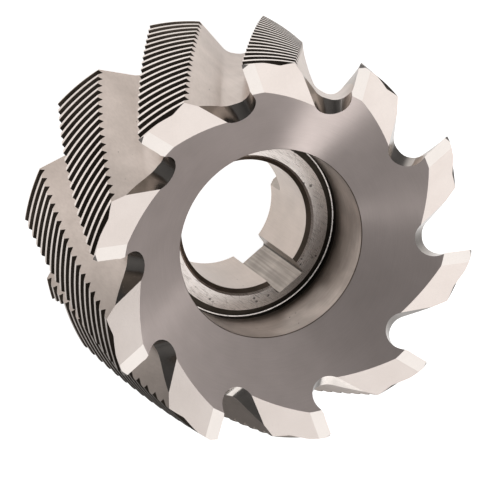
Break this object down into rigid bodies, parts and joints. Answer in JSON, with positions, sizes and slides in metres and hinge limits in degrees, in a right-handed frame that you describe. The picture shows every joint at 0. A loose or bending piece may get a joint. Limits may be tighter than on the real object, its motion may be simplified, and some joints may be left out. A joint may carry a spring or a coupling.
{
  "type": "shell end mill",
  "caption": "Shell end mill for roughing: helical teeth with chip-breaker ridges, a dished end, and a bore with keyway and drive slot.",
  "frame": {"origin": "centre of the bore at the back face, which seats against the arbor", "axes": "+Z along the bore axis to the cutting end, +Y through the middle of the keyway, X along the drive slot"},
  "size_m": [0.0798, 0.08, 0.045],
  "materials": {
    "tool_steel": "ground and satin"
  },
  "bodies": {
    "root": {"shell_end_mill": "tool_steel"}
  },
  "joints": []
}
